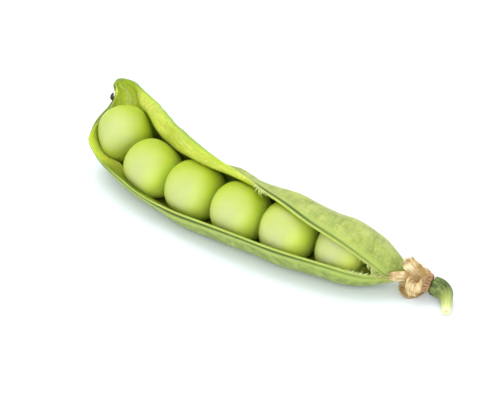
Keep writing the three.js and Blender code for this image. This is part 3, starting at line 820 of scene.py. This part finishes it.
def rod(route, radii, around, folds=lambda u, angle: 0):
    """Rings of points along a route, with radius by place and folds that depend on the angle."""
    tangents = unit(np.gradient(route, axis=0))
    side = unit(np.cross(tangents[0], (0, 0, 1)))
    rings = np.zeros((len(route), around, 3))
    for i, (centre, tangent) in enumerate(zip(route, tangents)):
        side = unit(side - (side @ tangent) * tangent)
        other = np.cross(tangent, side)
        for k, angle in enumerate(np.linspace(0, 2 * pi, around, endpoint=False)):
            r = radii[i] * (1 + folds(i / (len(route) - 1), angle))
            rings[i, k] = centre + r * (cos(angle) * side + sin(angle) * other)
    return rings


def closed_skin(rings, first, last):
    """Points and outward faces of a tube of rings, closed by one pole at each end."""
    count, around = rings.shape[:2]
    points = np.concatenate([rings.reshape(-1, 3), [first], [last]])
    faces = []
    end = (count - 1) * around
    for k in range(around):
        after = (k + 1) % around
        faces += [(a + k, a + after, a + after + around, a + k + around) for a in range(0, end, around)]
        faces.append((count * around, after, k))
        faces.append((count * around + 1, end + k, end + after))
    return points, faces


def smooth_route(corners, count):
    """A smooth route through given corners, evenly stepped."""
    keys = [(i, *corner) for i, corner in enumerate(corners)]
    dense = np.array([along(keys, t) for t in np.linspace(0, len(keys) - 1, 400)])
    return spaced(dense, np.linspace(0, 1, count))


_, to_tip, _, _ = section_frame(STYLE_STATION)
half = half_section(STYLE_STATION, False, 200)
root = beside_centre(STYLE_STATION, *half[int(STYLE_SIDE * 199)])
outward = unit(root - beside_centre(STYLE_STATION, 0, 0))
route = smooth_route([root + outward * out + to_tip * ahead for out, ahead in STYLE_ROUTE], STYLE_RINGS)
radii = STYLE_RADIUS * np.interp(np.linspace(0, 1, STYLE_RINGS), *np.array(STYLE_TAPER).T)
rings = rod(
    route,
    radii,
    STYLE_AROUND,
    lambda u, angle: STYLE_WRINKLE * noise((9 * u, 2 * cos(angle), 2 * sin(angle))),
)
points, faces = closed_skin(rings, route[0], route[-1])
style = mesh_object("withered_style", points, faces, dead_fibre)
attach(style, "root")

# ---- calyx
# The flower's five sepals, joined in a shrivelled collar round the pod's neck and dried to thin
# crumpled paper, cream with brown folds and ragged ends; part of the brown toward their roots is
# painted shade.

# the collar's radius by station, outside and inside, and its pleats
COLLAR = [(-5.25, 1.3), (-5.1, 1.5), (-4.6, 1.62), (-4, 1.88), (-3.4, 2), (-3, 1.95)]
COLLAR_INSIDE = [(-3, 1.75), (-3.6, 1.6), (-4.4, 1.4), (-5.1, 1.4)]
COLLAR_RINGS = 22
COLLAR_AROUND = 156
COLLAR_FOLDS = 13
FOLD_HEIGHT = 0.09
WRINKLE_HEIGHT = 0.16
EDGE_HEIGHT = 0.35
SEPAL_THICKNESS = 0.16
# Each sepal: how ragged its end and how brown it is, partly the dried tissue's own brown and partly
# painted shade, then the three lines that it follows from the collar to its free end, edge, midrib and
# edge, as station, up and out from the centre line.
SEPALS = [
    (
        0.16, 0,
        [(-3.3, 1.1, 1.5), (-1.8, 1.92, 1.9), (-0.48, 2.41, 2.1), (0.2, 3.2, 1.8), (0.2, 4, 1.45)],
        [(-3.6, 1.7, 1.15), (-2.3, 2.5, 1.5), (-1.2, 3.05, 1.6), (-0.6, 3.75, 1.5), (-0.15, 4.5, 1.15)],
        [(-3.95, 2, 0.4), (-2.9, 2.9, 0.3), (-2.15, 3.5, 0.5), (-1.45, 3.95, 0.7), (-0.7, 4.6, 0.8)],
    ),
    (
        0.35, 0.15,
        [(-3.1, 1.35, 1.6), (-0.9, 2.2, 2.2), (0.65, 1.85, 2.75), (2.5, 0.6, 3.15)],
        [(-3.2, 0.9, 1.8), (-1.2, 1.4, 2.7), (0.4, 1.15, 3.15), (2.8, 0.15, 3.45)],
        [(-3.3, 0.35, 1.7), (-1.5, 0.65, 2.6), (0.1, 0.4, 3.1), (1.9, -0.35, 3.3)],
    ),
    (
        0.12, 0.05,
        [(-3, 0.6, 1.5), (-1.85, 1.8, 2.4), (-1.37, 1.6, 3.3), (-1.7, 0.3, 3.75), (-2.5, -1.1, 3.6)],
        [(-3.6, 0.1, 1.4), (-3, 0.85, 2.2), (-2.75, 1, 3.3), (-2.95, 0.3, 3.95), (-3.25, -1.3, 3.7)],
        [(-4.1, 0.7, 1), (-3.6, 2.1, 2.1), (-3.95, 1.85, 3), (-4.15, 0.6, 3.4), (-3.9, -0.85, 3.3)],
    ),
    (
        0.2, 0.6,
        [(-4, -0.6, 0.7), (-2.03, -0.67, 0.9), (-0.69, -0.66, 1.2), (0.15, -0.85, 1.6)],
        [(-4.3, -1.7, 0.2), (-2.8, -2.2, 0.4), (-1.3, -2.1, 0.8), (0.1, -1.35, 1.3)],
        [(-4.6, -1.8, 0.5), (-3.5, -2.75, 1.4), (-1.86, -2.8, 2.2), (-0.1, -1.5, 2.1)],
    ),
    (
        0.3, 0.2,
        [(-4.3, 0.5, -1.5), (-2.8, 0.7, -2.4), (-1.4, 0.4, -3.3), (-0.2, -0.2, -3.7)],
        [(-4.3, -0.4, -1.6), (-2.8, -0.45, -2.75), (-1.4, -0.7, -3.6), (0, -1.4, -4)],
        [(-4.3, -1.2, -1.2), (-2.8, -1.6, -2.2), (-1.4, -1.7, -3), (-0.2, -1.9, -3.4)],
    ),
]
# stray threads: a curled one on the first sepal and a tuft at the second one's end
CURLED_THREAD = [(-1.63, 3.47, 0.7), (-2.08, 3.55, 0.75), (-2.71, 3.5, 0.7), (-3.31, 3.77, 0.6)]
CURLED_RADIUS = 0.09
TUFT_ROOT = [(2.5, 0.1, 3.35), (2.9, -0.1, 3.5)]
TUFT_END = (3.3, -0.25, 3.55)
TUFT_RADIUS = 0.035
TUFT_THREADS = 7

# Dried sepal: brittle papery tissue with lengthwise fibres some 0.2 mm wide, brown in the folds and
# toward the roots, where part of the brown is painted shade.
dry_paper, add, in_mm = new_material("dried sepal, papery")
blade = add("Attribute", attribute_name="place").outputs["Vector"]
on_collar = add("SeparateXYZ", blade).outputs["Z"]
patches = add("TexNoise", in_mm, Scale=0.9, Detail=5)
along_fibres = add("Mapping", blade, Scale=(0.5, 4.5, 1))
fibres = add("TexNoise", along_fibres, Scale=1, Detail=4)
paper_colour, fibre_shade, collar_colour = (
    add("ValToRGB", value, stops=stops)
    for value, stops in (
        (patches, [(0.3, "#8A6E40"), (0.43, "#B49A64"), (0.56, "#CDB886"), (0.68, "#E2D6B0")]),
        (fibres, [(0.36, "#7A5A30", 0.55), (0.5, "#B8985E", 0), (0.62, "#ECE2C0", 0.5)]),
        (fibres, [(0.36, "#6B4E2C"), (0.5, "#A07B50"), (0.64, "#C79E7C")]),
    )
)
# a sepal is browner toward its root, and some sepals all over: partly the dried tissue's own brown,
# partly painted shade where the sepals crowd at the collar and lie in hollows; the collar, where the
# third value of "place" is 1, is browner and pinkish
browned = add("Attribute", attribute_name="browned").outputs["Fac"]
brown_and_shade_share = add("Math MULTIPLY", browned, 0.8)
for factor, over in (
    (fibre_shade.outputs["Alpha"], fibre_shade),
    (brown_and_shade_share, linear("#96733A")),
    (on_collar, collar_colour),
):
    paper_colour = add("Mix", Factor=factor, A=paper_colour, B=over, data_type="RGBA")
surface = add(
    "BsdfPrincipled",
    Base_Color=paper_colour,
    Roughness=0.75,
    Normal=add("Bump", Height=fibres, Distance=0.00015, Strength=0.7),
    Subsurface_Weight=0.3,
    Subsurface_Radius=(0.5, 0.35, 0.2),
    Subsurface_Scale=0.001,
)
add("OutputMaterial", surface)

points, place = [], []
profile = [(s, along(COLLAR, s), 1) for s in np.linspace(COLLAR[0][0], COLLAR[-1][0], COLLAR_RINGS)]
profile += [(s, r, 0.3) for s, r in COLLAR_INSIDE]
for s, r, depth in profile:
    centre, to_tip, to_mouth, to_upper = section_frame(s)
    for angle in np.linspace(0, 2 * pi, COLLAR_AROUND, endpoint=False):
        up, out = sin(angle), cos(angle)
        twist = angle + 0.12 * (s + 5)
        fold = sin(COLLAR_FOLDS * twist + 2 * sin(3 * angle))
        wrinkle = noise((2.2 * out, 2.2 * up, 0.8 * s))
        radius = r + depth * (FOLD_HEIGHT * fold + WRINKLE_HEIGHT * wrinkle)
        edge = EDGE_HEIGHT * noise((5 * out, 5 * up, 3)) * smooth(s, -4, -3) if depth == 1 else 0
        points.append(centre + edge * to_tip + radius * (out * to_mouth + up * to_upper))
        place.append((s, angle * r, float(smooth(-s, 3.2, 4.6))))
faces = []
for start in range(0, len(points), COLLAR_AROUND):
    after = (start + COLLAR_AROUND) % len(points)
    for k in range(COLLAR_AROUND):
        beside = (k + 1) % COLLAR_AROUND
        faces.append((start + k, start + beside, after + beside, after + k))
collar = mesh_object("calyx_collar", points, faces, dry_paper, place=place)
merge_doubles(collar, 1e-7)
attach(collar, "root")
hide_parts("calyx")

# a blade's rows and columns of points, and the heights of its pleats and of its fine crinkles
SEPAL_ROWS = 44
SEPAL_COLUMNS = 25
PLEAT_HEIGHT = 0.17
CRINKLE_HEIGHT = 0.06
SEPAL_LENGTH = 5
SEPAL_CLEARANCE = 0.12


def sepal_points(seed, ragged, browned, *edges):
    """A crumpled blade through its three lines, with its place along and across in millimetres."""
    count = len(edges[0])
    lines = [[(i / (count - 1), *beside_centre(*point)) for i, point in enumerate(edge)] for edge in edges]
    points, place, brown = [], [], []
    for row in np.linspace(0, 1, SEPAL_ROWS):
        for across in np.linspace(-1, 1, SEPAL_COLUMNS):
            tear = 0.6 * noise((3.5 * across, seed, 0.3)) + 0.4 * noise((11 * across, seed, 2))
            u = row * (1 - ragged * max(0, 0.5 + tear) * row**2)
            first, middle, last = (along(line, u) for line in lines)
            ahead = along(lines[1], min(1, u + 0.02)) - along(lines[1], max(0, u - 0.02))
            half = (last - first) / 2
            bow = (first + last) / 2 - middle
            face = unit(np.cross(half + 2 * across * bow, ahead))
            width = np.linalg.norm(half)
            pleat = noise((1.2 * u * count, 3.2 * across * width, 5 * seed))
            crinkle = noise((3 * u * count, 6 * across * width, 9 * seed))
            lift = (PLEAT_HEIGHT * pleat + CRINKLE_HEIGHT * crinkle) * smooth(u, 0, 0.2)
            points.append(middle + across * half + across**2 * bow + face * lift)
            place.append((u * SEPAL_LENGTH, across * width, 0))
            # browner toward the root: partly the dried tissue's own brown, partly painted shade
            brown.append(min(1, browned + 0.85 * float(smooth(-u, -0.6, -0.15))))
    faces = [
        (a, a + 1, a + SEPAL_COLUMNS + 1, a + SEPAL_COLUMNS)
        for a in range(SEPAL_COLUMNS * (SEPAL_ROWS - 1))
        if (a + 1) % SEPAL_COLUMNS
    ]
    points = np.array(points)
    points[:, 2] = np.maximum(points[:, 2], SEPAL_CLEARANCE - SHIFT[2])
    return points, faces, place, brown


for number, sepal in enumerate(SEPALS, 1):
    points, faces, place, brown = sepal_points(number, *sepal)
    blade = mesh_object(f"sepal_{number}", points, faces, dry_paper, place=place, browned=brown)
    thickness = blade.modifiers.new("paper thickness", "SOLIDIFY")
    thickness.thickness = SEPAL_THICKNESS / 1000
    thickness.offset = 0
    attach(blade, "root")
    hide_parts("calyx")

threads = [(CURLED_THREAD, CURLED_RADIUS)]
for turn in range(TUFT_THREADS):
    angle = 0.9 * turn - 1.2
    reach = 0.55 + 0.12 * (turn % 3)
    end = np.array(TUFT_END) + np.array((0.5 * cos(angle), sin(angle), 0.25)) * reach
    threads.append((TUFT_ROOT + [end], TUFT_RADIUS))
for number, (corners, radius) in enumerate(threads, 1):
    route = smooth_route([beside_centre(*corner) for corner in corners], 20)
    rings = rod(route, radius * np.linspace(1, 0.5, 20), 8)
    points, faces = closed_skin(rings, route[0], route[-1])
    thread = mesh_object(f"calyx_thread_{number}", points, faces, dry_paper, place=np.zeros((len(points), 3)))
    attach(thread, "root")

# ---- stem
# The stalk that the pod hung by: fresh green, ribbed, bent over and cut off square.

# corners of its route, and its radius there
STEM = [
    ((33.02, 7.07, 2.42), 1.58), ((34.1, 7.42, 2.1), 1.62), ((35.2, 7.25, 1.82), 1.32),
    ((36.25, 6.45, 1.5), 0.98), ((37.05, 5.4, 1.2), 0.84), ((37.85, 4.3, 1), 0.78),
]
STEM_RINGS = 56
STEM_AROUND = 84
STEM_RIBS = 7
RIB_HEIGHT = 0.045
# the rounded ends, each ring as a share of the last one's size and its millimetres outward
STEM_ROOT = [(0.4, 0.3), (0.85, 0.18)]
STEM_CUT = [(0.97, 0.05), (0.9, 0.08), (0.6, 0.04), (0.25, -0.02)]
ROOT_POLE = 0.32
PITH_DEPTH = 0.08
STEM_LENGTH = 7

# Fresh stalk: green living fibres under a thin skin, paler and yellower toward the cut, with a small
# dark pith.
fresh_stalk, add, _ = new_material("fresh pea stalk")
blade = add("Attribute", attribute_name="place").outputs["Vector"]
length, _, pith = add("SeparateXYZ", blade).outputs
along_fibres = add("Mapping", blade, Scale=(0.35, 2.2, 1))
fibres = add("TexNoise", along_fibres, Scale=1, Detail=3)
toward_cut = add("MapRange", length, From_Min=2.4, From_Max=6.5)
stalk_colour, paling = (
    add("ValToRGB", value, stops=stops)
    for value, stops in (
        (fibres, [(0.36, "#384A1C"), (0.5, "#5C6C2A"), (0.64, "#7C8846")]),
        (toward_cut, [
            (0, "#A3AE5C", 0), (0.5, "#B4BE66", 0.7), (0.85, "#D2D98C", 0.85), (1, "#E6EAB0", 0.9),
        ]),
    )
)
for factor, over in ((paling.outputs["Alpha"], paling), (pith, linear("#6E6C34"))):
    stalk_colour = add("Mix", Factor=factor, A=stalk_colour, B=over, data_type="RGBA")
surface = add(
    "BsdfPrincipled",
    Base_Color=stalk_colour,
    Roughness=0.5,
    Normal=add("Bump", Height=fibres, Distance=0.00012, Strength=0.6),
    Subsurface_Weight=0.3,
    Subsurface_Radius=(0.8, 1.1, 0.3),
    Subsurface_Scale=0.001,
    IOR=1.42,
)
add("OutputMaterial", surface)

route = smooth_route([corner for corner, _ in STEM], STEM_RINGS)
keys = [(i / (len(STEM) - 1), r) for i, (_, r) in enumerate(STEM)]
radii = [along(keys, u) for u in np.linspace(0, 1, STEM_RINGS)]
rings = rod(route, radii, STEM_AROUND, lambda u, angle: RIB_HEIGHT * cos(STEM_RIBS * angle + 0.9 * u))
# the cut: a rounded rim and a slightly sunken pith
first, last = route[0], route[-1]
inward, heading = unit(first - route[1]), unit(last - route[-2])
root = [first + (rings[0] - first) * k + inward * d for k, d in STEM_ROOT]
cut = [last + (rings[-1] - last) * k + heading * d for k, d in STEM_CUT]
rings = np.concatenate([root, rings, cut])
points, faces = closed_skin(rings, first + inward * ROOT_POLE, last - heading * PITH_DEPTH)
points[:, 2] = np.maximum(points[:, 2], -SHIFT[2])
place = np.zeros((len(points), 3))
place[:-2, 0] = np.repeat(np.linspace(0, STEM_LENGTH, len(rings)), STEM_AROUND)
angles = np.linspace(-pi, pi, STEM_AROUND, endpoint=False)
place[:-2, 1] = np.tile(np.abs(angles), len(rings))
place[-1] = (STEM_LENGTH, 0, 1)
stalk = mesh_object("cut_stem", points, faces, fresh_stalk, place=place)
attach(stalk, "root")
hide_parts("stem")

# ---- floor, light and camera
# A white table, two broad soft lights, one high behind and one lower in front, and a white room.

TABLE_HALF = 3.0
AZIMUTH = radians(42)
ELEVATION = radians(34)
DISTANCE = 0.350
# what the camera looks at, in millimetres on the axes of the pod's own curve, and its lens
AIM = (-7.3, 7.5, -0.1)
LENS = 144.9

floor_mesh = bpy.data.meshes.new("table")
corners = [(x * TABLE_HALF, y * TABLE_HALF, 0) for x, y in ((-1, -1), (1, -1), (1, 1), (-1, 1))]
floor_mesh.from_pydata(corners, [], [(0, 1, 2, 3)])
# Matt white paper: it throws light back evenly, with no gloss.
paper, add, _ = new_material("matt white paper")
surface = add("BsdfPrincipled", Base_Color=linear("#F0F6FB"), Roughness=0.9)
add("OutputMaterial", surface)
floor_mesh.materials.append(paper)
table = show("table", floor_mesh)

world = bpy.data.worlds.new("white room")
world.use_nodes = True
world.node_tree.nodes["Background"].inputs["Color"].default_value = linear("#F7FAFF")
bpy.context.scene.world = world

target = Vector((np.array(AIM) + SHIFT) / 1000)
away = Vector((-sin(AZIMUTH), cos(AZIMUTH), 0))
right = Vector((cos(AZIMUTH), sin(AZIMUTH), 0))
over = Vector((0, 0, 1))
back = over * sin(ELEVATION) - away * cos(ELEVATION)


def aimed(name, data, place):
    """A lamp or camera at a place, turned to the target."""
    made = show(name, data)
    made.location = place
    made.rotation_euler = (target - place).to_track_quat("-Z", "Y").to_euler()
    return made


# each: where it stands from the target in metres, its width, its power and its colour
for name, offset, width, watts, tint in (
    ("high softbox", 0.08 * away - 0.06 * right + 0.4 * over, 0.35, 0.85, "#FFFEFA"),
    ("front softbox", -0.3 * away - 0.02 * right + 0.18 * over, 0.3, 0.68, "#FFFFFF"),
):
    lamp = bpy.data.lights.new(name, "AREA")
    lamp.size = width
    lamp.energy = watts
    lamp.color = linear(tint)[:3]
    aimed(name, lamp, target + offset)

camera = bpy.data.cameras.new("camera")
camera.lens = LENS
camera.clip_start = 0.01
bpy.context.scene.camera = aimed("camera", camera, target + DISTANCE * back)
bpy.context.scene.view_settings.view_transform = "Standard"
